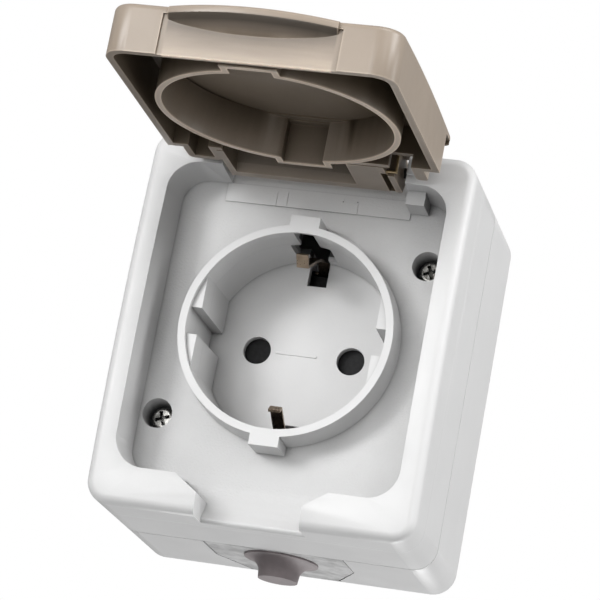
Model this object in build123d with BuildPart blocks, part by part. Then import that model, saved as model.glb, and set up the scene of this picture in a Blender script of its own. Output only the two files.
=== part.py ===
"""Surface-mounted power socket with a hinged splash lid, shown with the lid open.

Frame: +Z up, X to the right, the wall is the plane Y = 0 and the front faces -Y.
The origin is the point of the wall behind the socket's own axis.
Heights below are measured outward from the wall, so a height h lies at Y = -h.
"""
import os
from math import cos
from math import radians
from math import sin
from math import sqrt

from build123d import *

os.makedirs("parts", exist_ok=True)

# housing outline
box_width = 64.4
box_top = 37.2
box_bottom = -38.4
box_height = box_top - box_bottom
box_middle = (box_top + box_bottom) / 2
corner_radius = 4.6
wall = 2.0

# heights off the wall
seam_height = 22.8
seam_gap = 0.3
rim_height = 46.8
crown_height = 48.4
recess_floor = 37.8
floor_thickness = 2.0
collar_height = 44.45
well_depth = 17.5
well_floor = collar_height - well_depth
well_floor_thickness = 1.65

# recess behind the lid
recess_half_width = 27.15
recess_top = 30.2
recess_bottom = -30.35
recess_top_radius = 5.2
recess_bottom_radius = 5.4
recess_draft = 3.5
front_fillet = 1.9

# socket well
well_radius = 19.6
collar_radius = 21.05
collar_base_radius = 21.4
key_width = 5.8
key_reach = 23.0
pin_spacing = 19.0
pin_hole_diameter = 5.6
guide_flat = 17.0
guide_gap = 2.4
guide_top = 43.4
earth_slot_width = 3.9
earth_slot_top = 43.8
earth_slot_reach = 21.6
earth_window_width = 8.0
earth_window_low = 29.1
earth_window_high = 37.1
earth_slot_inner = 14.3

# hinge
hinge_height = 42.2
hinge_z = 34.5
pin_radius = 1.0
pin_clearance = 0.05
notch_left = -17.7
notch_right = 18.7
panel_center = 0.1
panel_width = 37.2
panel_lower = 26.5
panel_upper = 30.2
panel_step = 0.3
notch_z = 29.6
pin_left = -21.4
pin_right = 22.4

# cover screws
screw_x = 23.7
screw_z = 17.7
screw_radius = 1.7
screw_head_radius = 2.2
screw_seat = 32.3
screw_hole_radius = 2.95
seal_thickness = 0.8
seal_radius = 2.85
boss_radius = 4.0

# contact carrier
carrier_radius = 19.0
carrier_top = 22.3
carrier_back = 9.0
skirt_bottom = 17.0


def at_height(height):
    """Plane parallel to the wall at a height off it, its normal pointing outward."""
    return Plane.XZ.offset(height)


def housing_outline(height, inset, radius):
    """Rounded outline of the housing, drawn inset by a wall thickness."""
    with BuildSketch(at_height(height)) as outline:
        with Locations((0, box_middle)):
            RectangleRounded(box_width - 2 * inset, box_height - 2 * inset, radius)
    return outline.sketch


def recess_outline(height):
    """Opening behind the lid: wide corners at the top, tighter ones at the bottom."""
    with BuildSketch(at_height(height)) as outline:
        with BuildLine():
            Polyline(
                (-recess_half_width, recess_bottom),
                (recess_half_width, recess_bottom),
                (recess_half_width, recess_top),
                (-recess_half_width, recess_top),
                close=True,
            )
        make_face()
        fillet(outline.vertices().group_by(Axis.Y)[-1], recess_top_radius)
        fillet(outline.vertices().group_by(Axis.Y)[0], recess_bottom_radius)
    return outline.sketch


# front cover: frame, recess and socket well moulded in one
cover_base = seam_height + seam_gap / 2
gasket_ledge = 25.8

with BuildPart() as crown_block:
    with BuildSketch(Plane.YZ.offset(-box_width / 2)):
        with BuildLine():
            Polyline(
                (-rim_height, box_bottom),
                (-cover_base, box_bottom),
                (-cover_base, box_top),
                (-rim_height, box_top),
            )
            ThreePointArc((-rim_height, box_top), (-crown_height, box_middle), (-rim_height, box_bottom))
        make_face()
    extrude(amount=box_width)

with BuildPart() as cover_body:
    extrude(housing_outline(cover_base, 0, corner_radius), amount=crown_height + 1 - cover_base)
    add(crown_block.part, mode=Mode.INTERSECT)
    front_edges = cover_body.faces().sort_by(Axis.Y)[0].outer_wire().edges()
    fillet(front_edges, front_fillet)
    extrude(housing_outline(cover_base, wall, corner_radius - wall), amount=gasket_ledge - cover_base,
            mode=Mode.SUBTRACT)
    extrude(housing_outline(gasket_ledge, wall + 1.6, 1.6),
            amount=recess_floor - floor_thickness - gasket_ledge, mode=Mode.SUBTRACT)

# finger notch below the recess: its floor rises in one sweep and rounds over at the bottom face
notch_mouth = 15.2
notch_throat = 10.3
notch_shoulder_z = -34.1
notch_sill = 40.5
notch_sweep_start = -29.8
with BuildPart() as finger_notch:
    with BuildSketch(at_height(recess_floor - 1)):
        with BuildLine():
            Polyline(
                (-notch_mouth, recess_bottom + 1),
                (-notch_mouth, recess_bottom - 0.4),
                (-notch_throat, notch_shoulder_z),
                (-notch_throat, box_bottom - 1),
                (notch_throat, box_bottom - 1),
                (notch_throat, notch_shoulder_z),
                (notch_mouth, recess_bottom - 0.4),
                (notch_mouth, recess_bottom + 1),
                close=True,
            )
        make_face()
    extrude(amount=crown_height + 2 - recess_floor)
    with BuildSketch(Plane.YZ.offset(-box_width / 2)):
        with BuildLine():
            ThreePointArc(
                (-recess_floor, notch_sweep_start),
                (-38.45, notch_shoulder_z),
                (-notch_sill, -37.5),
            )
            ThreePointArc((-notch_sill, -37.5), (-40.35, -38.1), (-39.7, box_bottom))
            Polyline(
                (-39.7, box_bottom),
                (-39.7, box_bottom - 1),
                (-crown_height - 2, box_bottom - 1),
                (-crown_height - 2, notch_sweep_start),
                (-recess_floor, notch_sweep_start),
            )
        make_face()
    extrude(amount=box_width, mode=Mode.INTERSECT)

with BuildPart() as well_cup:
    with BuildSketch(Plane.YZ):
        with BuildLine():
            Polyline(
                (-skirt_bottom, 0),
                (-skirt_bottom, collar_base_radius),
                (-recess_floor, collar_base_radius),
                (-collar_height, collar_radius),
                (-collar_height, 0),
                close=True,
            )
        make_face()
    revolve(axis=Axis.Y)

with BuildPart() as front_cover:
    add(cover_body.part)
    recess_depth = crown_height + 1 - recess_floor
    extrude(recess_outline(recess_floor), amount=recess_depth, taper=-recess_draft, mode=Mode.SUBTRACT)
    add(finger_notch.part, mode=Mode.SUBTRACT)
    # hinge notch, open to the front and to the top
    with BuildSketch(at_height(recess_floor)):
        with Locations(((notch_left + notch_right) / 2, (notch_z + box_top + 1) / 2)):
            Rectangle(notch_right - notch_left, box_top + 1 - notch_z)
    extrude(amount=recess_depth, mode=Mode.SUBTRACT)
    # faint raised panel under the hinge, and the foot of the right-hand hinge ear
    with BuildSketch(at_height(recess_floor)):
        with Locations((panel_center, (panel_lower + panel_upper) / 2)):
            Rectangle(panel_width, panel_upper - panel_lower)
    extrude(amount=panel_step)
    with BuildSketch(at_height(recess_floor)):
        with Locations((20.5, 29.4)):
            Rectangle(3.6, 3.2)
    extrude(amount=6.0)
    # well with its collar, the two keys outside it
    add(well_cup.part)
    for side in (-1, 1):
        with BuildSketch(at_height(recess_floor)):
            with Locations((0, side * (key_reach + 20) / 2)):
                Rectangle(key_width, key_reach - 20)
        extrude(amount=collar_height - recess_floor)
    with BuildSketch(at_height(well_floor)):
        Circle(well_radius - 0.25)
    extrude(amount=well_depth + 1, taper=-0.8, mode=Mode.SUBTRACT)
    # guide flats: chords of the well with a gap at mid height
    with BuildSketch(at_height(well_floor)):
        Circle(well_radius + 0.4)
        Rectangle(2 * guide_flat, 2 * well_radius + 2, mode=Mode.SUBTRACT)
        Rectangle(2 * well_radius + 2, 2 * guide_gap, mode=Mode.SUBTRACT)
    extrude(amount=guide_top - well_floor, taper=1.0)
    # room for the shutter and the carrier behind the well floor
    with BuildSketch(at_height(skirt_bottom)):
        Circle(carrier_radius + 0.25)
    extrude(amount=well_floor - well_floor_thickness - skirt_bottom, mode=Mode.SUBTRACT)
    # pin holes
    with BuildSketch(at_height(well_floor + 1)):
        with Locations((-pin_spacing / 2, 0), (pin_spacing / 2, 0)):
            Circle(pin_hole_diameter / 2)
    extrude(amount=-4, mode=Mode.SUBTRACT)
    # earth slots: a narrow one up the wall and along the floor, a wider window lower down
    for side in (-1, 1):
        with BuildSketch(at_height(well_floor - 3)):
            with Locations((0, side * (earth_slot_inner + earth_slot_reach) / 2)):
                Rectangle(earth_slot_width, earth_slot_reach - earth_slot_inner)
        extrude(amount=earth_slot_top - well_floor + 3, mode=Mode.SUBTRACT)
        with BuildSketch(at_height(earth_window_low)):
            with Locations((0, side * 21)):
                Rectangle(earth_window_width, 8)
        extrude(amount=earth_window_high - earth_window_low, mode=Mode.SUBTRACT)
    # hinge pin seats in the two ears
    with BuildSketch(Plane.YZ.offset(pin_left)):
        with Locations((-hinge_height, hinge_z)):
            Circle(pin_radius + pin_clearance)
    extrude(amount=pin_right - pin_left, mode=Mode.SUBTRACT)
    # way up the inside of the cup for the earth arms
    for side in (-1, 1):
        with BuildSketch(at_height(carrier_top - 0.3)):
            with Locations((0, side * (carrier_radius + earth_slot_reach) / 2)):
                Rectangle(earth_slot_width, earth_slot_reach - carrier_radius)
        extrude(amount=2.4, mode=Mode.SUBTRACT)
    # bosses and bores for the two cover screws
    for side in (-1, 1):
        with BuildSketch(at_height(24.2)):
            with Locations((side * screw_x, side * screw_z)):
                Circle(boss_radius)
        extrude(amount=recess_floor - 0.5 - 24.2)
        with BuildSketch(at_height(20)):
            with Locations((side * screw_x, side * screw_z)):
                Circle(screw_radius + pin_clearance)
        extrude(amount=20, mode=Mode.SUBTRACT)
        with BuildSketch(at_height(screw_seat - seal_thickness)):
            with Locations((side * screw_x, side * screw_z)):
                Circle(screw_hole_radius)
        extrude(amount=10, mode=Mode.SUBTRACT)

front_cover.part.label = "front_cover"
export_step(front_cover.part, "parts/front_cover.step")

# back box
box_rim = seam_height - seam_gap / 2
tongue_top = 24.6
entry_half = 14.0
entry_taper_height = 11.5
entry_back_half = 9.0
entry_back_height = 1.2
entry_gap = 0.2
entry_hole_radius = 5.6
entry_axis_height = 14.6


def entry_outline(grow, top):
    """Six-sided outline of the cable entry plate, seen from below the box."""
    plane = Plane(origin=(0, 0, box_bottom), x_dir=(1, 0, 0), z_dir=(0, 0, 1))
    with BuildSketch(plane) as outline:
        with BuildLine():
            Polyline(
                (-entry_half - grow, -top),
                (-entry_half - grow, -entry_taper_height),
                (-entry_back_half - grow, -entry_back_height + grow),
                (entry_back_half + grow, -entry_back_height + grow),
                (entry_half + grow, -entry_taper_height),
                (entry_half + grow, -top),
                close=True,
            )
        make_face()
    return outline.sketch


with BuildPart() as back_box:
    extrude(housing_outline(0, 0, corner_radius), amount=box_rim)
    fillet(back_box.faces().sort_by(Axis.Y)[-1].outer_wire().edges(), 0.5)
    tongue_start = box_rim - 4.6
    tongue_outline = housing_outline(tongue_start, wall + 0.35, corner_radius - wall)
    extrude(tongue_outline, amount=tongue_top - tongue_start)
    extrude(housing_outline(wall, wall + 1.5, 1.6), amount=tongue_top, mode=Mode.SUBTRACT)
    with BuildSketch(at_height(wall)):
        with Locations((0, box_middle)):
            RectangleRounded(box_width - 2 * wall, box_height - 2 * wall, corner_radius - wall)
    extrude(amount=box_rim - 4.6 - wall, mode=Mode.SUBTRACT)
    # columns that take the cover screws
    for side in (-1, 1):
        with BuildSketch(at_height(wall - 0.5)):
            with Locations((side * screw_x, side * screw_z)):
                Circle(boss_radius)
        extrude(amount=24.0 - wall + 0.5)
        with BuildSketch(at_height(9)):
            with Locations((side * screw_x, side * screw_z)):
                Circle(screw_radius + pin_clearance)
        extrude(amount=20, mode=Mode.SUBTRACT)
    # fixing holes to the wall with raised seats
    with BuildSketch(at_height(wall - 0.5)):
        with Locations((-20, 27), (20, -27)):
            Circle(4.8)
    extrude(amount=2.0)
    with BuildSketch(at_height(-1)):
        with Locations((-20, 27), (20, -27)):
            Circle(2.25)
    extrude(amount=8, mode=Mode.SUBTRACT)
    # opening for the entry plate, stepped so that the plate seats on its flange
    extrude(entry_outline(entry_gap, box_rim + 4), amount=4.2, mode=Mode.SUBTRACT)

back_box.part.label = "back_box"
export_step(back_box.part, "parts/back_box.step")

# entry plate in the bottom of the box
with BuildPart() as entry_plate:
    extrude(entry_outline(0, box_rim), amount=wall)
    with BuildSketch(Plane.XY.offset(box_bottom + wall)):
        with Locations((0, -11.6)):
            Rectangle(2 * entry_half, 15)
    extrude(amount=1.6)
    with BuildSketch(Plane.XY.offset(box_bottom - 1)):
        with Locations((0, -entry_axis_height)):
            Circle(entry_hole_radius)
    extrude(amount=6, mode=Mode.SUBTRACT)

entry_plate.part.label = "entry_plate"
export_step(entry_plate.part, "parts/entry_plate.step")

# rubber cable grommet: a hollow cone with a stub, closed until a cable goes through it
stub_end = -42.6
stub_root = -40.8
groove_radius = entry_hole_radius - 0.05
with BuildPart() as cable_grommet:
    with BuildSketch(Plane.YZ):
        with BuildLine():
            Polyline(
                (-entry_axis_height, stub_end),
                (-entry_axis_height - 3.95, stub_end),
                (-entry_axis_height - 4.15, stub_root),
            )
            ThreePointArc(
                (-entry_axis_height - 4.15, stub_root),
                (-entry_axis_height - 5.2, -39.5),
                (-entry_axis_height - 7.4, box_bottom - 0.35),
            )
            Polyline(
                (-entry_axis_height - 7.4, box_bottom - 0.35),
                (-entry_axis_height - 7.4, box_bottom),
                (-entry_axis_height - groove_radius, box_bottom),
                (-entry_axis_height - groove_radius, box_bottom + 3.6),
                (-entry_axis_height - 7.2, box_bottom + 3.6),
                (-entry_axis_height - 7.2, box_bottom + 4.8),
                (-entry_axis_height - 4.4, box_bottom + 4.8),
                (-entry_axis_height - 3.0, stub_end + 0.9),
                (-entry_axis_height, stub_end + 0.9),
                (-entry_axis_height, stub_end),
            )
        make_face()
    revolve(axis=Axis((0, -entry_axis_height, 0), (0, 0, 1)))

cable_grommet.part.label = "cable_grommet"
export_step(cable_grommet.part, "parts/cable_grommet.step")

# gasket between box and cover
with BuildPart() as cover_gasket:
    gasket_outline = housing_outline(tongue_top, wall + 0.35, corner_radius - wall)
    extrude(gasket_outline, amount=gasket_ledge - tongue_top)
    extrude(housing_outline(tongue_top - 1, wall + 1.5, 1.6), amount=4, mode=Mode.SUBTRACT)

cover_gasket.part.label = "cover_gasket"
export_step(cover_gasket.part, "parts/cover_gasket.step")

# contact carrier
spindle_radius = 2.0
spring_seat_outer = 5.6
arm_slot_width = 4.4
arm_slot_inner = 17.8
arm_slot_outer = 19.6

with BuildPart() as contact_carrier:
    with BuildSketch(at_height(carrier_back)):
        Circle(carrier_radius)
    extrude(amount=carrier_top - carrier_back)
    with BuildSketch(at_height(carrier_top)):
        Circle(spindle_radius)
    extrude(amount=2.8)
    with BuildSketch(at_height(carrier_top)):
        Circle(spring_seat_outer)
        Circle(2.7, mode=Mode.SUBTRACT)
    extrude(amount=-1.6, mode=Mode.SUBTRACT)
    for side in (-1, 1):
        # pocket of a pin contact, opened to the back
        with BuildSketch(at_height(carrier_back)):
            with Locations((side * 11.4, 0)):
                Rectangle(11.4, 8.4)
        extrude(amount=carrier_top - carrier_back - 1.6, mode=Mode.SUBTRACT)
        with BuildSketch(at_height(carrier_back)):
            with Locations((side * pin_spacing / 2, 0)):
                Circle(2.9)
        extrude(amount=carrier_top - carrier_back, mode=Mode.SUBTRACT)
        # slot for an earth arm
        with BuildSketch(at_height(carrier_back)):
            with Locations((0, side * (arm_slot_inner + arm_slot_outer) / 2)):
                Rectangle(arm_slot_width, arm_slot_outer - arm_slot_inner)
        extrude(amount=carrier_top - carrier_back, mode=Mode.SUBTRACT)
        # flanges that screw to the well skirt
        with BuildSketch(at_height(skirt_bottom - 2.0)):
            with Locations((side * 16.0, -side * 16.0)):
                Circle(3.6)
            with Locations((side * 13.6, -side * 13.6)):
                Rectangle(7, 7, rotation=45)
        extrude(amount=1.9)
        with BuildSketch(at_height(skirt_bottom - 3)):
            with Locations((side * 16.4, -side * 16.4)):
                Circle(1.35)
        extrude(amount=5, mode=Mode.SUBTRACT)

contact_carrier.part.label = "contact_carrier"
export_step(contact_carrier.part, "parts/contact_carrier.step")

# rotating child-protection shutter
shutter_radius = 13.2
shutter_low = 23.1
shutter_high = 24.9
shutter_turn = 42.0

with BuildPart() as shutter:
    with BuildSketch(at_height(shutter_low)):
        Circle(shutter_radius)
        Circle(spindle_radius + pin_clearance, mode=Mode.SUBTRACT)
        with PolarLocations(pin_spacing / 2, 2, start_angle=shutter_turn):
            Circle(3.0, mode=Mode.SUBTRACT)
    extrude(amount=shutter_high - shutter_low)

shutter.part.label = "shutter"
export_step(shutter.part, "parts/shutter.step")

# return spring of the shutter, lying in its seat
with BuildPart() as shutter_spring:
    with BuildLine() as shutter_coil:
        Helix(pitch=0.62, height=1.0, radius=4.1, center=(0, -carrier_top + 1.25, 0), direction=(0, -1, 0))
    with BuildSketch(Plane(origin=shutter_coil.line @ 0, z_dir=shutter_coil.line % 0)):
        Circle(0.24)
    sweep()

shutter_spring.part.label = "shutter_spring"
export_step(shutter_spring.part, "parts/shutter_spring.step")

# brass pin contacts with their screw terminals
contact_names = ((-1, "left"), (1, "right"))
for side, name in contact_names:
    with BuildPart() as contact:
        with BuildSketch(at_height(carrier_back + 1.0)):
            with Locations((side * 11.4, 0)):
                Rectangle(10.6, 7.6)
        extrude(amount=1.0)
        # two spring leaves either side of the pin
        for leaf in (-1, 1):
            with BuildSketch(Plane.YZ.offset(side * pin_spacing / 2 - 2.3)):
                with BuildLine():
                    Polyline(
                        (-carrier_back - 1.5, leaf * 3.7),
                        (-carrier_back - 1.5, leaf * 3.0),
                        (-16.0, leaf * 2.45),
                        (-19.6, leaf * 3.1),
                        (-19.8, leaf * 3.8),
                        (-16.0, leaf * 3.15),
                        (-carrier_back - 4.0, leaf * 3.7),
                        close=True,
                    )
                make_face()
            extrude(amount=4.6)
        # terminal block with its wire bore and screw thread
        with BuildSketch(at_height(carrier_back + 0.5)):
            with Locations((side * 14.8, 0)):
                Rectangle(3.9, 6.4)
        extrude(amount=7.0)
        with BuildSketch(at_height(carrier_back - 1)):
            with Locations((side * 14.8, 0)):
                Circle(1.5)
        extrude(amount=6.0, mode=Mode.SUBTRACT)
    contact.part.label = f"contact_{name}"
    export_step(contact.part, f"parts/contact_{name}.step")
    with BuildPart() as terminal_screw:
        with BuildSketch(at_height(carrier_back - 1.4)):
            with Locations((side * 14.8, 0)):
                Circle(2.2)
        extrude(amount=1.6)
        with BuildSketch(at_height(carrier_back)):
            with Locations((side * 14.8, 0)):
                Circle(1.45)
        extrude(amount=4.6)
        with BuildSketch(at_height(carrier_back - 1.4)):
            with Locations((side * 14.8, 0)):
                Rectangle(3.4, 0.6)
        extrude(amount=0.7, mode=Mode.SUBTRACT)
    terminal_screw.part.label = f"terminal_screw_{name}"
    export_step(terminal_screw.part, f"parts/terminal_screw_{name}.step")

# earth bracket: one strap with a spring arm at each end
strap_half = 2.1
strap_height = 7.4
arm_half = 1.2
arm_root = 18.35
strip = 0.6


def arm_profile(side, tip_height, tip_reach):
    """Side view of a spring arm: past the carrier, out into the wall slot, bowed in, flared at its tip."""
    return (
        (-strap_height, side * arm_root),
        (-22.6, side * arm_root),
        (-24.9, side * 20.4),
        (-32.0, side * 18.3),
        (-36.0, side * 16.4),
        (-39.9, side * 14.3),
        (-tip_height, side * tip_reach),
    )


with BuildPart() as earth_bracket:
    with BuildSketch(Plane.YZ.offset(-strap_half)):
        with BuildLine():
            Polyline(
                *reversed(arm_profile(-1, 41.0, 15.2)),
                *arm_profile(1, 41.9, 16.1),
            )
        trace(line_width=strip)
    extrude(amount=2 * strap_half)
    # the arms are narrower than the strap where they stand in the well
    for side in (-1, 1):
        with BuildSketch(at_height(carrier_top + 0.3)):
            with Locations((side * strap_half, 0)):
                Rectangle(2 * (strap_half - arm_half), 60)
        extrude(amount=22, mode=Mode.SUBTRACT)
    # terminal tongue to one side, with its thread
    with BuildSketch(at_height(strap_height - strip / 2)):
        with Locations((5.5, 10.6)):
            Rectangle(9.0, 6.4)
    extrude(amount=strip)
    with BuildSketch(at_height(strap_height - strip)):
        with Locations((7.2, 10.6)):
            Circle(1.5)
    extrude(amount=2 * strip, mode=Mode.SUBTRACT)

earth_bracket.part.label = "earth_bracket"
export_step(earth_bracket.part, "parts/earth_bracket.step")

with BuildPart() as earth_screw:
    with BuildSketch(at_height(strap_height - strip / 2 - 1.6)):
        with Locations((7.2, 10.6)):
            Circle(2.6)
    extrude(amount=1.6)
    with BuildSketch(at_height(strap_height - strip / 2)):
        with Locations((7.2, 10.6)):
            Circle(1.45)
    extrude(amount=1.6)
    with BuildSketch(at_height(strap_height - strip / 2 - 1.6)):
        with Locations((7.2, 10.6)):
            Rectangle(4.0, 0.7)
    extrude(amount=0.8, mode=Mode.SUBTRACT)

earth_screw.part.label = "earth_screw"
export_step(earth_screw.part, "parts/earth_screw.step")

# screws that hold the carrier to the well skirt
for side, name in contact_names:
    with BuildPart() as carrier_screw:
        with BuildSketch(at_height(skirt_bottom - 3.4)):
            with Locations((side * 16.4, -side * 16.4)):
                Circle(2.3)
        extrude(amount=1.4)
        with BuildSketch(at_height(skirt_bottom - 2.0)):
            with Locations((side * 16.4, -side * 16.4)):
                Circle(1.3)
        extrude(amount=1.9)
    carrier_screw.part.label = f"carrier_screw_{name}"
    export_step(carrier_screw.part, f"parts/carrier_screw_{name}.step")

# cover screws with their seals
for side, name in ((-1, "lower"), (1, "upper")):
    with BuildPart() as cover_screw:
        with BuildSketch(at_height(screw_seat)):
            with Locations((side * screw_x, side * screw_z)):
                Circle(screw_head_radius)
        extrude(amount=1.7)
        fillet(cover_screw.edges().sort_by(Axis.Y)[0], 0.6)
        with BuildSketch(at_height(10)):
            with Locations((side * screw_x, side * screw_z)):
                Circle(screw_radius)
        extrude(amount=screw_seat - 10)
        # cross recess, with the small extra cross between its arms
        with BuildSketch(at_height(screw_seat + 1.7)):
            with Locations((side * screw_x, side * screw_z)):
                Rectangle(3.0, 0.7, rotation=20)
                Rectangle(0.7, 3.0, rotation=20)
        extrude(amount=-1.1, mode=Mode.SUBTRACT)
    cover_screw.part.label = f"cover_screw_{name}"
    export_step(cover_screw.part, f"parts/cover_screw_{name}.step")
    with BuildPart() as screw_seal:
        with BuildSketch(at_height(screw_seat - seal_thickness)):
            with Locations((side * screw_x, side * screw_z)):
                Circle(seal_radius)
                Circle(screw_radius + pin_clearance, mode=Mode.SUBTRACT)
        extrude(amount=seal_thickness)
    screw_seal.part.label = f"screw_seal_{name}"
    export_step(screw_seal.part, f"parts/screw_seal_{name}.step")

# lid, modelled open: across its plane X and Y, its thickness along Z, all measured from the hinge
lid_half = 26.8
lid_free = -61.55
lid_shoulder = -12.9
lid_face_end = -7.8
plate_level = 4.3
hook_level = 3.6
hook_start = lid_face_end - 0.9
lid_rim = -3.6
lid_edge = 5.7
lid_crown = 6.5
lid_wall = 1.4
lid_corner = 4.6
block_left = -17.2
block_right = 17.1
spring_wall = 8.4
block_step = 15.7
block_step_end = -8.0
shoulder_half = 23.8
lug_left = 21.45
lug_right = 23.75
lug_end = -7.6
nose_radius = 2.7
ring_center = -34.5
ring_radius = 22.9
ring_wall = 1.2
ring_rim = -3.85
lip_half = 15.6
lip_reach = 3.5
lip_radius = 43.0
field_top = 4.2
coil_radius = 1.55
wire_radius = 0.25
coil_start = 9.8
coil_pitch = 0.8
coil_length = coil_pitch * 6.5
leg_x = 17.5
leg_level = -2.9
leg_opening_top = -0.9


def lid_level(level):
    """Plane parallel to the open lid at a level above the hinge axis."""
    return Plane(origin=(0, -hinge_height, hinge_z + level), x_dir=(1, 0, 0), z_dir=(0, 0, 1))


def lid_side(x):
    """Plane square to the hinge axis, drawn as (distance from the axis, level)."""
    return Plane(origin=(x, -hinge_height, hinge_z), x_dir=(0, 1, 0), z_dir=(1, 0, 0))


def lid_profile(inset):
    """Side view of the lid shell, running past its plan, optionally inset by the wall."""
    middle = (lid_free + lid_face_end) / 2
    half = (lid_face_end - lid_free) / 2
    bend = (half ** 2 + (lid_crown - lid_edge) ** 2) / (2 * (lid_crown - lid_edge))
    low_end = lid_free - 2
    high_end = lid_face_end + 2
    end_level = lid_crown - bend + sqrt(bend ** 2 - (high_end - middle) ** 2) - inset
    bottom = lid_rim - 1
    with BuildSketch(lid_side(-lid_half - 1)) as profile:
        with BuildLine():
            Polyline(
                (low_end, end_level),
                (low_end, bottom),
                (lid_shoulder - inset, bottom),
                (lid_shoulder - inset, plate_level - inset),
                (hook_start, plate_level - inset),
                (hook_start, hook_level - inset),
                (high_end, hook_level - inset),
                (high_end, end_level),
            )
            ThreePointArc((high_end, end_level), (middle, lid_crown - inset), (low_end, end_level))
        make_face()
    return profile.sketch


def lid_plan(level, inset):
    """Plan of the wide part of the lid with its rounded free corners."""
    with BuildSketch(lid_level(level)) as plan:
        with Locations((0, (lid_free + lid_face_end) / 2)):
            Rectangle(2 * (lid_half - inset), lid_face_end - lid_free - 2 * inset)
        fillet(plan.vertices().group_by(Axis.Y)[0], lid_corner - inset)
        fillet(plan.vertices().group_by(Axis.Y)[-1], 1.6 - inset)
    return plan.sketch


def block_profile(x, points):
    """Side view of a piece of the hinge block."""
    with BuildSketch(lid_side(x)) as profile:
        with BuildLine():
            Polyline(*points, close=True)
        make_face()
    return profile.sketch


nose_low = radians(-20)
nose_high = radians(58)
nose_points = [
    (nose_radius * cos(nose_low + k * (nose_high - nose_low) / 8),
     nose_radius * sin(nose_low + k * (nose_high - nose_low) / 8))
    for k in range(9)
]
block_outside = [(-12.5, lid_rim), (1.1, lid_rim)] + nose_points + [(-5.0, 5.35), (-12.5, 5.8)]
block_inside = [
    (-14.5, lid_rim - 1),
    (-0.3, lid_rim - 1),
    (-2.2, -2.0),
    (-3.0, 0),
    (-3.4, 3.2),
    (-14.5, 4.3),
]

with BuildPart() as lid_shell:
    extrude(lid_plan(lid_rim, 0), amount=lid_crown + 2 - lid_rim)
    extrude(lid_profile(0), amount=2 * lid_half + 2, mode=Mode.INTERSECT)
    crown_face = lid_shell.faces().filter_by(GeomType.CYLINDER).sort_by(SortBy.AREA)[-1]
    fillet(crown_face.outer_wire().edges(), 1.1)

with BuildPart() as lid_hollow:
    extrude(lid_plan(lid_rim - 1, lid_wall), amount=lid_crown + 2 - lid_rim)
    extrude(lid_profile(lid_wall), amount=2 * lid_half + 2, mode=Mode.INTERSECT)
    with BuildSketch(lid_level(lid_rim - 1)):
        with Locations((0, lid_shoulder - lid_wall - 30)):
            Rectangle(2 * lid_half, 60)
    extrude(amount=lid_crown + 2 - lid_rim, mode=Mode.INTERSECT)

# finger lip: its edge sweeps round in plan and its underside slopes back to the skirt
lip_tip = lid_free - lip_reach
with BuildPart() as finger_lip:
    with BuildSketch(lid_side(0)):
        with BuildLine():
            Polyline(
                (lip_tip, 4.1),
                (lip_tip, 5.1),
                (lip_tip + 0.45, lid_edge - 0.15),
                (lid_free + 2, lid_edge - 0.15),
                (lid_free + 2, 0.9),
                (lid_free, 1.6),
                (lid_free - 1.9, 2.6),
                (lip_tip + 0.3, 3.7),
                close=True,
            )
        make_face()
    revolve(axis=Axis((0, lip_tip - hinge_height + lip_radius, 0), (0, 0, 1)))
    with BuildSketch(lid_level(0)):
        with Locations((0, lid_free + 1.0 - 3.0)):
            Rectangle(2 * lip_half, 6.0)
    extrude(amount=lid_edge, mode=Mode.INTERSECT)

leg_slot = [(1.2, lid_rim - 1), (1.2, -1.0), (-9.2, -2.3), (-9.2, lid_rim - 1)]

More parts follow.
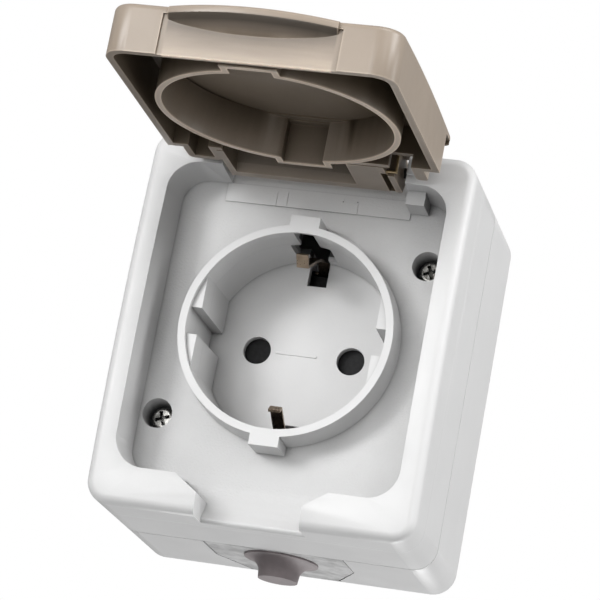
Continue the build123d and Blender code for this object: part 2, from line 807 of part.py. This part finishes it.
with BuildPart() as lid:
    add(lid_shell.part)
    # hinge block and the two shoulders beside it
    extrude(block_profile(block_left, block_outside), amount=block_right - block_left)
    with BuildSketch(lid_level(lid_rim)):
        with Locations((-(shoulder_half + 17) / 2, (lid_shoulder - 7.1 - 0.5) / 2)):
            RectangleRounded(shoulder_half - 17, lid_shoulder * -1 - 7.1 + 0.5, 1.2)
        with Locations(((lug_left + lug_right) / 2, (lid_shoulder - 0.5 + lug_end) / 2)):
            RectangleRounded(lug_right - lug_left, lug_end - lid_shoulder + 0.5, 0.8)
    extrude(amount=6.4)
    # hollow underside
    add(lid_hollow.part, mode=Mode.SUBTRACT)
    block_hollow_left = block_left + lid_wall
    block_hollow = block_profile(block_hollow_left, block_inside)
    extrude(block_hollow, amount=spring_wall - block_hollow_left, mode=Mode.SUBTRACT)
    with BuildSketch(lid_level(lid_rim - 1)):
        with Locations((-20.4, -11.9)):
            Rectangle(4.0, 6.8)
    extrude(amount=6.0, mode=Mode.SUBTRACT)
    # opening beside the block where the spring leg and the ear stand
    with BuildSketch(lid_level(lid_rim - 1)):
        with Locations(((block_right + lug_left) / 2, -12.95)):
            Rectangle(lug_left - block_right, 4.7)
    extrude(amount=leg_opening_top - lid_rim + 1, mode=Mode.SUBTRACT)
    # step in the block's right side, where the spring leg comes out
    with BuildSketch(lid_level(lid_rim - 1)):
        with Locations(((block_step + block_right + 0.4) / 2, (block_step_end - 12.9) / 2)):
            Rectangle(block_right + 0.4 - block_step, block_step_end + 12.9)
    extrude(amount=3.0 - lid_rim + 1, mode=Mode.SUBTRACT)
    # ring that closes round the collar, swelled out over the two keys
    with BuildSketch(lid_level(ring_rim)):
        with Locations((0, ring_center)):
            Circle(ring_radius)
            Rectangle(10.8, 2 * (ring_radius + 2.0))
            Circle(ring_radius - ring_wall, mode=Mode.SUBTRACT)
            Rectangle(8.2, 2 * (ring_radius + 2.0 - ring_wall), mode=Mode.SUBTRACT)
    extrude(amount=lid_edge - lid_wall + 0.3 - ring_rim)
    # shallow field under the lip, then the finger lip on the free edge
    with BuildSketch(lid_level(lid_rim - 1)):
        with Locations((0, lid_free)):
            Rectangle(33.0, 0.7)
    extrude(amount=field_top - lid_rim + 1, mode=Mode.SUBTRACT)
    add(finger_lip.part)
    # seat of the coil, way out for its leg, bore of the pin
    with BuildSketch(lid_side(coil_start - 0.4)):
        Circle(2.05)
    extrude(amount=6.2, mode=Mode.SUBTRACT)
    extrude(block_profile(14.6, leg_slot), amount=block_step - 14.6 + 0.1, mode=Mode.SUBTRACT)
    with BuildSketch(lid_side(block_left - 1)):
        Circle(pin_radius + pin_clearance)
    extrude(amount=block_right - block_left + 2, mode=Mode.SUBTRACT)

lid.part.label = "lid"
export_step(lid.part, "parts/lid.step")

with BuildPart() as hinge_pin:
    with BuildSketch(lid_side(pin_left + 0.1)):
        Circle(pin_radius)
    extrude(amount=pin_right - pin_left - 0.2)

hinge_pin.part.label = "hinge_pin"
export_step(hinge_pin.part, "parts/hinge_pin.step")

# closing spring of the lid: a coil round the pin and one long leg beside the block
with BuildPart() as lid_spring:
    with BuildLine() as lid_coil:
        Helix(pitch=coil_pitch, height=coil_length, radius=coil_radius,
              center=(coil_start, -hinge_height, hinge_z), direction=(1, 0, 0))
    with BuildSketch(Plane(origin=lid_coil.line @ 0, z_dir=lid_coil.line % 0)):
        Circle(wire_radius)
    sweep()
    coil_end = lid_coil.line @ 1 - (lid_coil.line % 1) * wire_radius
    with BuildLine() as long_leg:
        Polyline(
            (coil_end.X - 0.2, coil_end.Y, coil_end.Z),
            (coil_end.X + 0.3, coil_end.Y, coil_end.Z),
            (coil_end.X + 0.3, -hinge_height - 8.6, hinge_z + leg_level),
            (leg_x, -hinge_height - 8.6, hinge_z + leg_level),
            (leg_x, -hinge_height - 9.4, hinge_z + 1.6),
        )
    with BuildSketch(Plane(origin=long_leg.line @ 0, z_dir=(1, 0, 0))):
        Circle(wire_radius)
    sweep(transition=Transition.RIGHT)

lid_spring.part.label = "lid_spring"
export_step(lid_spring.part, "parts/lid_spring.step")
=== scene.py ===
"""Looks of the surface-mounted power socket: finishes, fine pieces, light and camera around the frame."""
from math import cos, pi, radians, sin

import bmesh
import bpy
from mathutils import Matrix, Vector


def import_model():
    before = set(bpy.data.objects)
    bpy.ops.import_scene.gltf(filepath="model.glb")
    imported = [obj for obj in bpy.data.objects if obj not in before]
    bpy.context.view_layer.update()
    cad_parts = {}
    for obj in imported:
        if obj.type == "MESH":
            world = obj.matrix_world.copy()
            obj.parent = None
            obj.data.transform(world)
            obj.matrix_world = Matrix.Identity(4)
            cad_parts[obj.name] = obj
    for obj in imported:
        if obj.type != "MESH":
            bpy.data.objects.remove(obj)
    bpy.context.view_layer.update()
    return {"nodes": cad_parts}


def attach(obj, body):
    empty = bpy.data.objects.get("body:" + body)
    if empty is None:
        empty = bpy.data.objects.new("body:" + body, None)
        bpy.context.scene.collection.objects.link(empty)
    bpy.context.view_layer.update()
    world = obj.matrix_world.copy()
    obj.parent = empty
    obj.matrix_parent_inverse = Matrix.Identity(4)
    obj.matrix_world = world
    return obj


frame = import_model()

MM = 0.001

# camera, fitted to the photograph
CAMERA_TARGET = Vector((0, -46.8, 0)) * MM
CAMERA_DISTANCE = 567.97 * MM
CAMERA_AZIMUTH = radians(15.325)
CAMERA_ELEVATION = radians(-14.959)
CAMERA_ROLL = radians(10.826)
CAMERA_LENS = 179.707
CAMERA_SHIFT = (0.0301, 0.0436)
SENSOR_WIDTH = 36

# lamps, all at one distance from the socket: the direction each lies in, its sides in metres, its watts
LAMP_DISTANCE = 0.8
LAMPS = {
    "left_mid": ((-0.58, -0.80, 0.16), (0.2, 0.2), 2.45),
    "key_low_left": ((-0.40, -0.87, 0.27), (0.26, 0.26), 1.45),
    "front": ((-0.15, -1.0, 0.0), (0.28, 0.24), 1.4),
    "top_right": ((0.35, -0.50, 0.79), (0.36, 0.36), 2.3),
    "right_top": ((0.86, -0.22, 0.44), (0.3, 0.32), 3.2),
    "corner_strip": ((0.62, -0.72, 0.27), (0.04, 0.3), 0.45),
    "right_back": ((0.96, 0.22, -0.08), (0.2, 0.6), 1.6),
    "under_front": ((0.0, -0.78, -0.62), (0.3, 0.2), 0.4),
    "under_back": ((0.12, 0.68, -0.72), (0.4, 0.3), 3.9),
}
ROOM_LIGHT = 0.24
WHITE = (1, 1, 1)

# pale floor, in metres
FLOOR_DROP = 2.2
FLOOR_REACH = 5.0
FLOOR_TONES = ((0.80, 0.80, 0.80), (0.84, 0.84, 0.84))

# heights off the wall, in millimetres
WELL_FLOOR = 26.95
RECESS_FLOOR = 37.8
PANEL_TOP = 38.1

# upper earth window in the well's wall, whose ledge gets painted shade, in millimetres
WINDOW_HALF_WIDTH = 4.0
WINDOW_INSIDE = 20.1
WINDOW_OUTSIDE = 21.35
WINDOW_LOW = 26.05
WINDOW_HIGH = 39.45

# finger field and round collar of the open lid, and the bounds of their painted light and shade, in
# millimetres
FIELD_HALF_WIDTH = 15.5
FIELD_FRONT = -102.8
FIELD_TOP = 38.7
FIELD_PAINTED_LIGHT_BELOW = 31.8
FIELD_PAINTED_SHADE_ABOVE = 36.8
LIP_SHADE_BOTTOM = 34.9
LIP_SHADE_TOP = 37.7
RING_CENTER = -76.7
RING_OUTSIDE = 24.9
RING_RIM = 30.65
# depth of the painted light on the rim
RIM_LIGHT_DEPTH = 0.35

# raised lines, in millimetres: ends as (across, up)
PANEL_LINES = [((-8.35, 26.6), (-8.35, 29.3)), ((-6.2, 26.6), (-6.2, 29.3)), ((8.0, 26.6), (8.0, 28.9)),
               ((5.1, 28.7), (8.0, 28.9)), ((5.1, 28.7), (5.1, 29.4))]
FLOOR_BAR = ((-5.5, 0.0), (2.5, 0.0))
SUNK = 0.05
LINE_END_STEPS = 6

# hinge ear's front and the lid's web beside it, in millimetres: sides as (height off the wall, up)
EAR_LEFT = 18.74
EAR_WIDTH = 2.56
EAR_SIDE = [(44.0, 32.5), (48.1, 32.5), (48.1, 35.4), (47.6, 36.3), (46.6, 36.8), (44.0, 36.8)]
WEB_LEFT = 16.9
WEB_WIDTH = 1.5
WEB_SIDE = [(50.2, 36.7), (50.2, 38.0), (44.2, 38.0), (43.2, 37.6), (43.0, 36.9), (44.0, 36.7)]

# soft edges on the CAD nodes, in millimetres, made where faces turn by more than the sharp angle
SOFT_EDGES = {"front_cover": 0.3, "back_box": 0.2, "lid": 0.15, "entry_plate": 0.2, "earth_bracket": 0.12,
              "cable_grommet": 0.25}
SHARP_ANGLE = radians(28)
SAME_POINT = 0.002

# finishes, as linear colours
LIGHT_GREY = (0.66, 0.66, 0.66)
TAUPE = (0.333, 0.275, 0.221)
# dark colour for the painted shade inside the lid
TAUPE_PAINTED_SHADE = (0.108, 0.082, 0.054)
MAUVE_RUBBER = (0.25, 0.215, 0.22)
BLACK_RUBBER = (0.03, 0.03, 0.03)
BLACK = (0.003, 0.003, 0.0035)
NICKEL_BRASS = (0.55, 0.43, 0.32)
BRASS = (0.72, 0.52, 0.27)
ZINC = (0.62, 0.61, 0.58)
BRONZE = (0.62, 0.48, 0.28)

# scales of streaks on each axis, where a small one draws them out: rolled strip, and the wiped finger field
ROLLED = (1, 0.15, 1)
WIPED = (0.12, 1, 1)


def node(tree, kind, **values):
    """Adds a node and sets its named inputs or properties."""
    made = tree.nodes.new(kind)
    for key, value in values.items():
        name = key.replace("_", " ")
        if name in made.inputs:
            made.inputs[name].default_value = value
        else:
            setattr(made, key, value)
    return made


def start_material(name, roughness, metallic=0.0, specular=0.5):
    """A material, its node tree, its shader and each point's place in the object's own coordinates."""
    material = bpy.data.materials.new(name)
    material.use_nodes = True
    tree = material.node_tree
    shader = tree.nodes["Principled BSDF"]
    shader.inputs["Metallic"].default_value = metallic
    shader.inputs["Roughness"].default_value = roughness
    shader.inputs["Specular IOR Level"].default_value = specular
    place = node(tree, "ShaderNodeTexCoord").outputs["Object"]
    return material, tree, shader, place


def split(tree, vector):
    """The X, Y and Z values of a vector."""
    made = node(tree, "ShaderNodeSeparateXYZ")
    tree.links.new(vector, made.inputs["Vector"])
    return made.outputs["X"], made.outputs["Y"], made.outputs["Z"]


def noise(tree, place, feature, detail=2.0, roughness=0.5):
    """Noise whose lumps are about one feature across, in millimetres."""
    made = node(tree, "ShaderNodeTexNoise", Scale=1 / (feature * MM), Detail=detail, Roughness=roughness)
    tree.links.new(place, made.inputs["Vector"])
    return made.outputs["Fac"]


def mapped(tree, value, low, high, to_low, to_high):
    """A value carried from one range to another, clamped."""
    made = node(tree, "ShaderNodeMapRange")
    for name, number in (("From Min", low), ("From Max", high), ("To Min", to_low), ("To Max", to_high)):
        made.inputs[name].default_value = number
    tree.links.new(value, made.inputs["Value"])
    return made.outputs["Result"]


def varied(tree, place, feature, low, high, detail, roughness=0.5, cut=(0.3, 0.7)):
    """Noise spread between two values, with all of it beyond the cut at one or the other."""
    return mapped(tree, noise(tree, place, feature, detail, roughness), *cut, low, high)


def before(tree, length, edge, blur):
    """1 where a length is short of an edge and 0 past it. Edge and blur are in millimetres."""
    return mapped(tree, length, (edge - blur / 2) * MM, (edge + blur / 2) * MM, 1, 0)


def beyond(tree, length, edge, blur):
    """0 where a length is short of an edge and 1 past it. Edge and blur are in millimetres."""
    return mapped(tree, length, (edge - blur / 2) * MM, (edge + blur / 2) * MM, 0, 1)


def arithmetic(tree, operation, *given):
    """One or two values or numbers, combined."""
    made = node(tree, "ShaderNodeMath", operation=operation)
    for socket, value in zip(made.inputs, given):
        if isinstance(value, (int, float)):
            socket.default_value = value
        else:
            tree.links.new(value, socket)
    return made.outputs["Value"]


def product(tree, first, *others):
    """All the values multiplied."""
    for other in others:
        first = arithmetic(tree, "MULTIPLY", first, other)
    return first


def blended_colour(tree, share, first, second):
    """A colour between two, by a share."""
    made = node(tree, "ShaderNodeMix", data_type="RGBA")
    made.inputs[6].default_value = (*first, 1)
    made.inputs[7].default_value = (*second, 1)
    tree.links.new(share, made.inputs["Factor"])
    return made.outputs[2]


def multiplied_colour(tree, colour, factor):
    """A colour socket dimmed or lifted by a value."""
    made = node(tree, "ShaderNodeVectorMath", operation="SCALE")
    tree.links.new(colour, made.inputs[0])
    tree.links.new(factor, made.inputs["Scale"])
    return made.outputs["Vector"]


def scaled(colour, factor):
    """A colour made darker or lighter."""
    return tuple(c * factor for c in colour)


def add_bump(tree, shader, height, depth):
    """Bump of a real depth in millimetres."""
    made = node(tree, "ShaderNodeBump", Strength=1.0, Distance=depth * MM)
    tree.links.new(height, made.inputs["Height"])
    tree.links.new(made.outputs["Normal"], shader.inputs["Normal"])


def shelter(tree, reach, alone=True):
    """How open a spot is: 1 in the open, 0 deep inside its own piece or, if not alone, among all pieces."""
    made = node(tree, "ShaderNodeAmbientOcclusion", samples=6, only_local=alone)
    made.inputs["Distance"].default_value = reach * MM
    return made.outputs["AO"]


def surface_normal(tree):
    """The direction that each spot faces."""
    return node(tree, "ShaderNodeNewGeometry").outputs["Normal"]


def sharp_edge_mask(tree, radius):
    """1 along sharp edges, 0 on faces, within a radius in millimetres."""
    rounded = node(tree, "ShaderNodeBevel", samples=6)
    rounded.inputs["Radius"].default_value = radius * MM
    made = node(tree, "ShaderNodeVectorMath", operation="DOT_PRODUCT")
    tree.links.new(rounded.outputs["Normal"], made.inputs[0])
    tree.links.new(surface_normal(tree), made.inputs[1])
    return mapped(tree, made.outputs["Value"], 0.80, 0.995, 1, 0)


def finger_field(tree, place):
    """The finger field: painted shade under the lip, turning to painted light towards the field's lower
    edge, also on the faces under the lip, with faint wiped streaks; 1 elsewhere.
    """
    x, y, z = split(tree, place)
    across = before(tree, arithmetic(tree, "ABSOLUTE", x), FIELD_HALF_WIDTH, blur=0.4)
    front = before(tree, y, FIELD_FRONT, blur=0.2)
    inside = product(tree, across, front, before(tree, z, FIELD_TOP, blur=0.4))
    # painted shade from the lip: darker towards the top of the field, lighter towards its lower edge
    painted_lip_gradient = mapped(tree, z, FIELD_PAINTED_LIGHT_BELOW * MM, FIELD_PAINTED_SHADE_ABOVE * MM, 1.28, 0.66)
    drawn_out = node(tree, "ShaderNodeMapping", Scale=WIPED)
    tree.links.new(place, drawn_out.inputs["Vector"])
    streaks = varied(tree, drawn_out.outputs["Vector"], feature=1.2, low=0.95, high=1.05, detail=3)
    facing_up = split(tree, surface_normal(tree))[2]
    turned_down = mapped(tree, facing_up, -0.3, -0.1, 1, 0)
    # painted shade on the faces under the lip, darkest near the lip and turning to painted light lower down
    shade_line = mapped(tree, z, LIP_SHADE_BOTTOM * MM, LIP_SHADE_TOP * MM, -1.5, 0.62)
    hollow_shade = arithmetic(tree, "SUBTRACT", 1.0, product(tree, turned_down, shade_line))
    change = arithmetic(tree, "SUBTRACT", product(tree, painted_lip_gradient, streaks, hollow_shade), 1.0)
    return arithmetic(tree, "ADD", product(tree, change, inside), 1.0)


def rim_painted_light(tree, place):
    """Painted light on the round collar's rim inside the lid, which is made twice as light; 1 elsewhere."""
    flattened = node(tree, "ShaderNodeVectorMath", operation="MULTIPLY")
    tree.links.new(place, flattened.inputs[0])
    flattened.inputs[1].default_value = (1, 1, 0)
    apart = node(tree, "ShaderNodeVectorMath", operation="DISTANCE")
    tree.links.new(flattened.outputs["Vector"], apart.inputs[0])
    apart.inputs[1].default_value = (0, RING_CENTER * MM, 0)
    height = split(tree, place)[2]
    on_rim = product(tree, before(tree, apart.outputs["Value"], RING_OUTSIDE, blur=0.2),
                     before(tree, height, RING_RIM + RIM_LIGHT_DEPTH / 2, blur=RIM_LIGHT_DEPTH))
    # painted light: the rim is made twice as light
    return mapped(tree, on_rim, 0, 1, 1.0, 2.0)


def earth_window(tree, x, y, z):
    """Painted shade on the ledge in the upper earth window, which lies deep in the rim's shade; 1 elsewhere.
    """
    inside = product(tree, before(tree, arithmetic(tree, "ABSOLUTE", x), WINDOW_HALF_WIDTH, blur=0.2),
                     beyond(tree, z, WINDOW_INSIDE, blur=0.1), before(tree, z, WINDOW_OUTSIDE, blur=0.1),
                     beyond(tree, y, -WINDOW_HIGH, blur=0.1), before(tree, y, -WINDOW_LOW, blur=0.1))
    # painted shade: the ledge is darkened to about an eighth
    return mapped(tree, inside, 0, 1, 1.0, 0.12)


def lid_plastic():
    """Taupe satin plastic: fine grain and faint flow marks, with painted shade on the sheltered inside and
    under the finger lip, and painted highlights along sharp edges, on the collar's rim and low on the finger
    field.
    """
    material, tree, shader, place = start_material("lid_plastic", roughness=0.45)
    # painted shade: the lid's sheltered inside is blended towards a dark taupe
    in_the_open = mapped(tree, shelter(tree, reach=22.0), 0.30, 0.97, 0, 1)
    shade = blended_colour(tree, in_the_open, TAUPE_PAINTED_SHADE, TAUPE)
    flow_marks = varied(tree, place, feature=14.0, low=0.97, high=1.03, detail=3)
    # painted highlight along sharp edges, half again as light
    painted_edge_light = mapped(tree, sharp_edge_mask(tree, radius=0.7), 0, 1, 1.0, 1.5)
    factor = product(tree, flow_marks, painted_edge_light, rim_painted_light(tree, place), finger_field(tree, place))
    tree.links.new(multiplied_colour(tree, shade, factor), shader.inputs["Base Color"])
    satin = varied(tree, place, feature=5.0, low=0.30, high=0.39, detail=4)
    tree.links.new(satin, shader.inputs["Roughness"])
    add_bump(tree, shader, noise(tree, place, feature=0.4, detail=3, roughness=0.6), depth=0.012)
    return material


def housing_plastic():
    """Light grey moulded plastic: smooth, but grained on the recess floor, with painted shade in cavities,
    hollows and creases and on the ledge in the upper earth window.
    """
    material, tree, shader, place = start_material("housing_plastic", roughness=0.35)
    x, y, z = split(tree, place)
    off_floor = arithmetic(tree, "ABSOLUTE", arithmetic(tree, "ADD", y, RECESS_FLOOR * MM))
    on_floor = before(tree, off_floor, edge=0.35, blur=0.3)
    slow = varied(tree, place, feature=16.0, low=0, high=1, detail=3)
    shade = blended_colour(tree, slow, scaled(LIGHT_GREY, 0.985), scaled(LIGHT_GREY, 1.015))
    # painted shade in cavities, hollows and creases, read from how sheltered each spot is
    cavity_shade = mapped(tree, shelter(tree, reach=8.0), 0.05, 0.30, 0.05, 1.0)
    hollow_shade = mapped(tree, shelter(tree, reach=20.0), 0.35, 0.80, 0.80, 1.0)
    crease_shade = mapped(tree, shelter(tree, reach=0.7), 0.45, 0.90, 0.72, 1.0)
    factor = product(tree, cavity_shade, earth_window(tree, x, y, z), hollow_shade, crease_shade)
    tree.links.new(multiplied_colour(tree, shade, factor), shader.inputs["Base Color"])
    satin = varied(tree, place, feature=6.0, low=0.38, high=0.46, detail=4)
    rougher = product(tree, on_floor, 0.2)
    tree.links.new(arithmetic(tree, "ADD", satin, rougher), shader.inputs["Roughness"])
    grain = noise(tree, place, feature=0.42)
    grain_share = arithmetic(tree, "ADD", product(tree, on_floor, 0.85), 0.15)
    add_bump(tree, shader, product(tree, grain, grain_share), depth=0.09)
    return material


def plate_plastic():
    """The entry plate's thinner grey plastic, mottled where the box behind it shows through."""
    material, tree, shader, place = start_material("plate_plastic", roughness=0.38)
    cloud = varied(tree, place, feature=4.0, low=0, high=1, detail=5, roughness=0.6, cut=(0.38, 0.62))
    shade = blended_colour(tree, cloud, scaled(LIGHT_GREY, 0.62), LIGHT_GREY)
    tree.links.new(shade, shader.inputs["Base Color"])
    add_bump(tree, shader, noise(tree, place, feature=0.5, detail=3), depth=0.03)
    return material


def black_thermoset():
    """Dull black insulating moulding with a faint speckle."""
    material, tree, shader, place = start_material("black_thermoset", roughness=0.5, specular=0.18)
    speck = varied(tree, place, feature=0.8, low=0, high=1, detail=3, cut=(0.4, 0.6))
    tree.links.new(blended_colour(tree, speck, BLACK, scaled(BLACK, 2.2)), shader.inputs["Base Color"])
    add_bump(tree, shader, noise(tree, place, feature=0.5), depth=0.02)
    return material


def rubber(name, colour):
    """Soft rubber with dusty, uneven sheen."""
    material, tree, shader, place = start_material(name, roughness=0.62, specular=0.35)
    shader.inputs["Sheen Weight"].default_value = 0.15
    bloom = varied(tree, place, feature=4.0, low=0, high=1, detail=5, cut=(0.35, 0.7))
    shade = blended_colour(tree, bloom, scaled(colour, 0.9), scaled(colour, 1.12))
    tree.links.new(shade, shader.inputs["Base Color"])
    add_bump(tree, shader, noise(tree, place, feature=0.4, detail=3), depth=0.03)
    return material


def metal(name, colour, roughness, brushed=(1, 1, 1), hollow_painted_shade=None):
    """Metal with drawn or rolled streaks, drawn out on the axes where brushed is small.

    Hollow painted shade, if given, holds the reach, in millimetres, within which hollows get painted shade,
    how dark it gets, and whether only the piece's own hollows count.
    """
    material, tree, shader, place = start_material(name, roughness, metallic=1.0)
    drawn_out = node(tree, "ShaderNodeMapping", Scale=brushed)
    tree.links.new(place, drawn_out.inputs["Vector"])
    streaks = noise(tree, drawn_out.outputs["Vector"], feature=0.6, detail=4, roughness=0.6)
    patches = varied(tree, place, feature=2.5, low=0, high=1, detail=4, cut=(0.35, 0.68))
    shade = blended_colour(tree, patches, scaled(colour, 0.78), scaled(colour, 1.08))
    if hollow_painted_shade is not None:
        reach, darkest, alone = hollow_painted_shade
        # painted shade in hollows, darker the more sheltered they are
        in_the_open = mapped(tree, shelter(tree, reach, alone), 0.25, 0.85, darkest, 1.0)
        shade = multiplied_colour(tree, shade, in_the_open)
    tree.links.new(shade, shader.inputs["Base Color"])
    gloss = mapped(tree, streaks, 0.3, 0.7, roughness - 0.08, roughness + 0.12)
    tree.links.new(gloss, shader.inputs["Roughness"])
    add_bump(tree, shader, streaks, depth=0.012)
    return material


def dress(material, *names):
    """Gives CAD nodes a finish."""
    for name in names:
        piece = frame["nodes"][name]
        piece.data.materials.clear()
        piece.data.materials.append(material)


def make_finishes():
    """Every material, assigned to the CAD nodes that wear it; returns the two that the fine pieces share."""
    housing = housing_plastic()
    lid = lid_plastic()
    steel = metal("zinc_steel", ZINC, roughness=0.34)
    # the cover screws get painted shade in their recesses, and the earth bracket painted shade where the
    # other pieces close round it
    screw_steel = metal("screw_steel", scaled(ZINC, 0.5), roughness=0.24, hollow_painted_shade=(1.6, 0.03, True))
    plated_brass = metal("plated_brass", NICKEL_BRASS, roughness=0.3, brushed=ROLLED,
                         hollow_painted_shade=(9.0, 0.05, False))
    dress(housing, "front_cover", "back_box")
    dress(plate_plastic(), "entry_plate")
    dress(lid, "lid")
    dress(rubber("grommet_rubber", MAUVE_RUBBER), "cable_grommet")
    dress(rubber("seal_rubber", BLACK_RUBBER), "cover_gasket", "screw_seal_lower", "screw_seal_upper")
    dress(black_thermoset(), "contact_carrier", "shutter")
    dress(metal("dark_steel", scaled(ZINC, 0.08), roughness=0.6), "hinge_pin")
    dress(steel, "shutter_spring", "terminal_screw_left", "terminal_screw_right", "earth_screw",
          "carrier_screw_left", "carrier_screw_right")
    dress(screw_steel, "cover_screw_lower", "cover_screw_upper")
    dress(metal("brass_strip", BRASS, roughness=0.32, brushed=ROLLED), "contact_left", "contact_right")
    dress(plated_brass, "earth_bracket")
    dress(metal("bronze_wire", BRONZE, roughness=0.35), "lid_spring")
    return housing, lid


def soften(piece, width, segments):
    """Small rounded edges, as a mould or a press leaves them."""
    bevel = piece.modifiers.new("soft edges", "BEVEL")
    bevel.width = width * MM
    bevel.segments = segments
    bevel.limit_method = "ANGLE"
    bevel.angle_limit = SHARP_ANGLE
    bevel.harden_normals = True


def soften_frame():
    """Soft edges on the CAD nodes whose edges show, after their faces are joined to one skin."""
    for name, width in SOFT_EDGES.items():
        piece = frame["nodes"][name]
        weld = piece.modifiers.new("one skin", "WELD")
        weld.merge_threshold = SAME_POINT * MM
        soften(piece, width, segments=2)


def on_object(x, height, z):
    """A point given across, off the wall and up, in millimetres, in the frame's metres."""
    return Vector((x, -height, z)) * MM


def built_up(name, outlines, rise, body, finish, edge):
    """One piece made of flat outlines, each carried along the same rise, with soft edges, riding a body."""
    shape = bmesh.new()
    for outline in outlines:
        low = [shape.verts.new(on_object(*point)) for point in outline]
        high = [shape.verts.new(on_object(*(a + b for a, b in zip(point, rise)))) for point in outline]
        shape.faces.new(low)
        shape.faces.new(high)
        for k, start in enumerate(low):
            after = (k + 1) % len(low)
            shape.faces.new((start, low[after], high[after], high[k]))
    bmesh.ops.recalc_face_normals(shape, faces=shape.faces)
    mesh = bpy.data.meshes.new(name)
    shape.to_mesh(mesh)
    shape.free()
    piece = bpy.data.objects.new(name, mesh)
    bpy.context.scene.collection.objects.link(piece)
    mesh.materials.append(finish)
    for face in mesh.polygons:
        face.use_smooth = True
    soften(piece, edge, segments=3)
    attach(piece, body)


def stroke(first, second, width, height):
    """Outline of a straight rounded line between two points (across, up) at a height off the wall."""
    first, second = Vector(first), Vector(second)
    along = (second - first).normalized() * width / 2
    side = Vector((-along.y, along.x))
    points = []
    for center, out, turn in ((first, -along, side), (second, along, -side)):
        for k in range(LINE_END_STEPS + 1):
            angle = pi * k / LINE_END_STEPS
            spot = center + turn * cos(angle) + out * sin(angle)
            points.append((spot.x, height, spot.y))
    return points


def side_outline(x, side):
    """A side view's points (height off the wall, up) placed at x."""
    return [(x, height, z) for height, z in side]


def make_fine_pieces(housing, lid):
    """Raised lines on the mouldings, the hinge ear's front and the lid's hinge web."""
    panel_lines = [stroke(*ends, width=0.3, height=PANEL_TOP - SUNK) for ends in PANEL_LINES]
    built_up("panel_lines", panel_lines, (0, 0.25, 0), "housing", housing, edge=0.04)
    floor_bar = stroke(*FLOOR_BAR, width=0.45, height=WELL_FLOOR - SUNK)
    built_up("floor_bar", [floor_bar], (0, 0.3, 0), "housing", housing, edge=0.08)
    ear_front = side_outline(EAR_LEFT, EAR_SIDE)
    built_up("ear_front", [ear_front], (EAR_WIDTH, 0, 0), "housing", housing, edge=0.3)
    hinge_web = side_outline(WEB_LEFT, WEB_SIDE)
    built_up("hinge_web", [hinge_web], (WEB_WIDTH, 0, 0), "lid", lid, edge=0.15)


def aim(thing, place, target, roll=0.0):
    """Puts a camera or light at a place, looking at a target, turned about its own line of sight."""
    back = (place - target).normalized()
    right = (-back).cross(Vector((0, 0, 1))).normalized()
    up = right.cross(-back)
    turned_right = right * cos(roll) + up * sin(roll)
    turned_up = up * cos(roll) - right * sin(roll)
    turn = Matrix((turned_right, turned_up, back)).transposed().to_4x4()
    thing.matrix_world = Matrix.Translation(place) @ turn


def make_camera():
    """Camera below the socket, looking up and a little from the right, as in the photograph."""
    data = bpy.data.cameras.new("camera")
    camera = bpy.data.objects.new("camera", data)
    bpy.context.scene.collection.objects.link(camera)
    data.sensor_width = SENSOR_WIDTH
    data.lens = CAMERA_LENS
    data.shift_x, data.shift_y = CAMERA_SHIFT
    data.clip_start = 0.01
    data.clip_end = 20
    level = cos(CAMERA_ELEVATION)
    direction = Vector((sin(CAMERA_AZIMUTH) * level, -cos(CAMERA_AZIMUTH) * level, sin(CAMERA_ELEVATION)))
    aim(camera, CAMERA_TARGET + direction * CAMERA_DISTANCE, CAMERA_TARGET, CAMERA_ROLL)
    bpy.context.scene.camera = camera


def make_lamps():
    """Soft boxes round the socket: keys from the left and front, more from the right and from below."""
    for name, (direction, sides, power) in LAMPS.items():
        data = bpy.data.lights.new(name, "AREA")
        data.shape = "RECTANGLE"
        data.size, data.size_y = sides
        data.energy = power
        lamp = bpy.data.objects.new(name, data)
        bpy.context.scene.collection.objects.link(lamp)
        aim(lamp, CAMERA_TARGET + Vector(direction).normalized() * LAMP_DISTANCE, CAMERA_TARGET)


def show_to_camera(tree, lighting, shown, output):
    """One shader lights the object, and another is what the camera sees straight."""
    ray = node(tree, "ShaderNodeLightPath")
    mix = node(tree, "ShaderNodeMixShader")
    tree.links.new(ray.outputs["Is Camera Ray"], mix.inputs["Fac"])
    tree.links.new(lighting, mix.inputs[1])
    tree.links.new(shown, mix.inputs[2])
    tree.links.new(mix.outputs["Shader"], tree.nodes[output].inputs["Surface"])


def make_room():
    """A dim white room, which the camera sees as plain white."""
    world = bpy.data.worlds.new("pale_room")
    bpy.context.scene.world = world
    world.use_nodes = True
    tree = world.node_tree
    soft = tree.nodes["Background"]
    soft.inputs["Color"].default_value = (*WHITE, 1)
    soft.inputs["Strength"].default_value = ROOM_LIGHT
    plain = node(tree, "ShaderNodeBackground", Color=(*WHITE, 1), Strength=1.0)
    show_to_camera(tree, soft.outputs["Background"], plain.outputs["Background"], "World Output")
    bpy.context.scene.view_settings.view_transform = "Standard"


def make_floor():
    """Plain pale floor, well below the socket, which hangs on a wall."""
    mesh = bpy.data.meshes.new("floor")
    shape = bmesh.new()
    bmesh.ops.create_grid(shape, x_segments=1, y_segments=1, size=FLOOR_REACH)
    shape.to_mesh(mesh)
    shape.free()
    floor = bpy.data.objects.new("floor", mesh)
    floor.location = (0, 0, -FLOOR_DROP)
    bpy.context.scene.collection.objects.link(floor)
    material, tree, shader, place = start_material("pale_floor", roughness=0.8)
    tone = blended_colour(tree, noise(tree, place, feature=400.0), *FLOOR_TONES)
    tree.links.new(tone, shader.inputs["Base Color"])
    glow = node(tree, "ShaderNodeEmission", Strength=1.0)
    tree.links.new(tone, glow.inputs["Color"])
    show_to_camera(tree, shader.outputs["BSDF"], glow.outputs["Emission"], "Material Output")
    mesh.materials.append(material)


make_camera()
make_lamps()
make_room()
make_floor()
housing_finish, lid_finish = make_finishes()
soften_frame()
make_fine_pieces(housing_finish, lid_finish)
